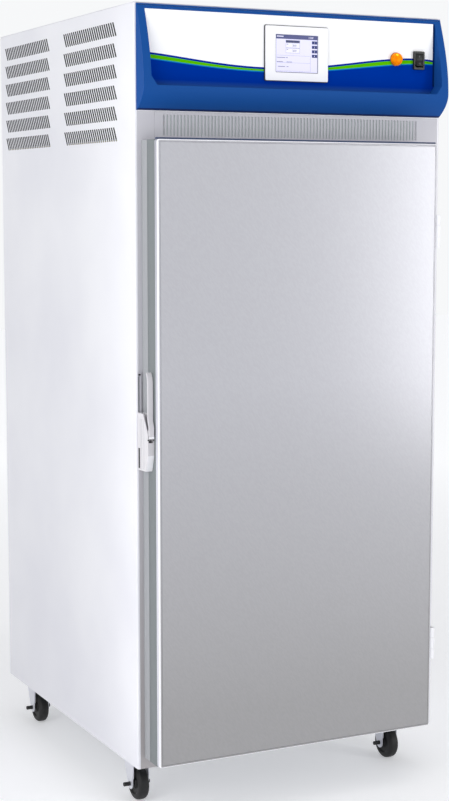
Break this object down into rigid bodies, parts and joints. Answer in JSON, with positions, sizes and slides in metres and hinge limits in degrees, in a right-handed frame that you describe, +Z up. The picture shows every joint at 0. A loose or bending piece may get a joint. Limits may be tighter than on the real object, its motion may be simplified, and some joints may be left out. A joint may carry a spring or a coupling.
{
  "type": "biochemical oxygen demand incubator",
  "caption": "Floor-standing cooled incubator cabinet on swivel casters, with an insulated hinged door, shelves inside, a louvred machine bay and a moulded control hood",
  "frame": {"origin": "on the floor, under the middle of the whole object", "axes": "+Z up, the door faces -Y, +X towards the hinges"},
  "size_m": [0.794, 0.987, 1.836],
  "materials": {
    "white_paint": "satin",
    "grey_paint": "hammered",
    "black_paint": "satin",
    "stainless_steel": "brushed",
    "zinc_plate": "satin",
    "copper_tube": "satin",
    "black_plastic": "matte",
    "dark_grey_trim": "matte",
    "grey_rubber": "matte",
    "tyre": "matte",
    "insulation_foam": "matte",
    "blue_hood": "gloss",
    "white_overlay": "satin",
    "bezel_plastic": "satin",
    "display_glass": "gloss",
    "amber_lens": "gloss"
  },
  "bodies": {
    "cabinet": {"left_side_panel": "white_paint", "right_side_panel": "white_paint", "top_cover": "white_paint", "back_panel": "white_paint", "cable_gland": "black_plastic", "base_pan": "grey_paint", "front_frame": "grey_paint", "grille_panel": "grey_paint", "cabinet_insulation": "insulation_foam", "chamber_liner": "stainless_steel", "machine_deck": "zinc_plate", "shelf_rack": "stainless_steel", "wire_shelf_1": "stainless_steel", "wire_shelf_2": "stainless_steel", "wire_shelf_3": "stainless_steel", "baffle_panel": "stainless_steel", "temperature_probe": "stainless_steel", "compressor": "black_paint", "condenser_coil": "copper_tube", "condenser_fan_shroud": "zinc_plate", "evaporator_coil": "copper_tube", "air_heater": "stainless_steel", "circulation_fan_motor": "zinc_plate", "control_hood": "blue_hood", "graphic_panel": "white_overlay", "display_bezel": "bezel_plastic", "display_screen": "display_glass", "indicator_lamp": "amber_lens", "switch_housing": "black_plastic", "upper_hinge_bracket": "zinc_plate", "lower_hinge_bracket": "zinc_plate", "strike_plate": "grey_paint", "front_left_caster_plate": "zinc_plate", "front_right_caster_plate": "zinc_plate", "rear_left_caster_plate": "zinc_plate", "rear_right_caster_plate": "zinc_plate"},
    "door": {"door_skin": "white_paint", "door_edge_frame": "dark_grey_trim", "door_inner_panel": "grey_paint", "door_insulation": "insulation_foam", "door_gasket": "grey_rubber", "upper_hinge_leaf": "zinc_plate", "lower_hinge_leaf": "zinc_plate", "latch_case": "white_paint"},
    "lever": {"latch_lever": "white_paint"},
    "rocker": {"power_rocker": "black_plastic"},
    "cooling_fan": {"condenser_fan": "black_plastic"},
    "air_fan": {"circulation_fan": "black_plastic"},
    "front_left_caster": {"front_left_caster_fork": "zinc_plate", "front_left_caster_axle": "black_paint"},
    "front_right_caster": {"front_right_caster_fork": "zinc_plate", "front_right_caster_axle": "black_paint"},
    "rear_left_caster": {"rear_left_caster_fork": "zinc_plate", "rear_left_caster_axle": "black_paint"},
    "rear_right_caster": {"rear_right_caster_fork": "zinc_plate", "rear_right_caster_axle": "black_paint"},
    "front_left_wheel": {"front_left_caster_wheel": "tyre"},
    "front_right_wheel": {"front_right_caster_wheel": "tyre"},
    "rear_left_wheel": {"rear_left_caster_wheel": "tyre"},
    "rear_right_wheel": {"rear_right_caster_wheel": "tyre"}
  },
  "joints": [
    {"name": "door_hinge", "type": "hinge", "parent": "cabinet", "child": "door", "pos_m": [0.343, -0.4845, 0.8405], "axis": [0, 0, 1], "range_deg": [0, 120]},
    {"name": "latch_lever_pivot", "type": "hinge", "parent": "door", "child": "lever", "pos_m": [-0.38835, -0.4515, 0.886], "axis": [1, 0, 0], "range_deg": [0, 35], "stiffness_Nm_per_rad": 0.5, "springref_deg": -17.19},
    {"name": "power_rocker_pivot", "type": "hinge", "parent": "cabinet", "child": "rocker", "pos_m": [0.3283, -0.4174, 1.7353], "axis": [1, 0, 0], "range_deg": [0, 20]},
    {"name": "condenser_fan_spin", "type": "hinge", "parent": "cabinet", "child": "cooling_fan", "pos_m": [-0.17, -0.2288, 1.6495], "axis": [0, 1, 0], "continuous": true},
    {"name": "circulation_fan_spin", "type": "hinge", "parent": "cabinet", "child": "air_fan", "pos_m": [0, 0.3422, 1.279], "axis": [0, 1, 0], "continuous": true},
    {"name": "front_left_swivel", "type": "hinge", "parent": "cabinet", "child": "front_left_caster", "pos_m": [-0.344, -0.2585, 0.04], "axis": [0, 0, 1], "continuous": true},
    {"name": "front_left_roll", "type": "hinge", "parent": "front_left_caster", "child": "front_left_wheel", "pos_m": [-0.344, -0.2845, 0.04], "axis": [1, 0, 0], "continuous": true},
    {"name": "front_right_swivel", "type": "hinge", "parent": "cabinet", "child": "front_right_caster", "pos_m": [0.344, -0.2585, 0.04], "axis": [0, 0, 1], "continuous": true},
    {"name": "front_right_roll", "type": "hinge", "parent": "front_right_caster", "child": "front_right_wheel", "pos_m": [0.344, -0.2845, 0.04], "axis": [1, 0, 0], "continuous": true},
    {"name": "rear_left_swivel", "type": "hinge", "parent": "cabinet", "child": "rear_left_caster", "pos_m": [-0.344, 0.4165, 0.04], "axis": [0, 0, 1], "continuous": true},
    {"name": "rear_left_roll", "type": "hinge", "parent": "rear_left_caster", "child": "rear_left_wheel", "pos_m": [-0.344, 0.3905, 0.04], "axis": [1, 0, 0], "continuous": true},
    {"name": "rear_right_swivel", "type": "hinge", "parent": "cabinet", "child": "rear_right_caster", "pos_m": [0.344, 0.4165, 0.04], "axis": [0, 0, 1], "continuous": true},
    {"name": "rear_right_roll", "type": "hinge", "parent": "rear_right_caster", "child": "rear_right_wheel", "pos_m": [0.344, 0.3905, 0.04], "axis": [1, 0, 0], "continuous": true}
  ]
}
